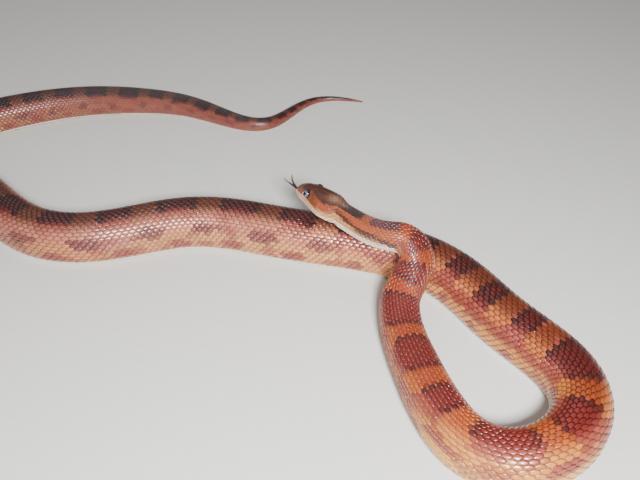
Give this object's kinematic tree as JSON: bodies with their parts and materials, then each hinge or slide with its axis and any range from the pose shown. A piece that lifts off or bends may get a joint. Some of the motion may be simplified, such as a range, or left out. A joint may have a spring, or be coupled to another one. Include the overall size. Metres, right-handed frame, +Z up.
{
  "type": "corn snake model",
  "caption": "Life-size corn snake lying in a loose loop on the floor, neck laid across its own body, head raised, forked tongue out.",
  "frame": {"origin": "middle of the box round the snake, on the floor it lies on", "axes": "+Z up, +X along the longest way across the pose, towards the loop of the forebody, +Y away from where the picture was taken"},
  "size_m": [0.4671, 0.3927, 0.0562],
  "materials": {
    "body_skin": "smooth satin scales, orange with red-brown saddles edged dark",
    "head_skin": "smooth glossy head shields, brown with an orange band",
    "lip_skin": "smooth pale lip and throat scales",
    "eye": "wet, clear, with a round pupil",
    "tongue": "moist, dark, with paler tips"
  },
  "bodies": {
    "root": {"head": "head_skin", "lower_jaw": "lip_skin", "eye_left": "eye", "eye_right": "eye", "tongue": "tongue", "neck_1": "body_skin", "neck_2": "body_skin", "neck_3": "body_skin", "body_01": "body_skin", "body_02": "body_skin", "body_03": "body_skin", "body_04": "body_skin", "body_05": "body_skin", "body_06": "body_skin", "body_07": "body_skin", "body_08": "body_skin", "body_09": "body_skin", "body_10": "body_skin", "body_11": "body_skin", "body_12": "body_skin", "body_13": "body_skin", "tail_1": "body_skin", "tail_2": "body_skin", "tail_3": "body_skin"}
  },
  "joints": []
}
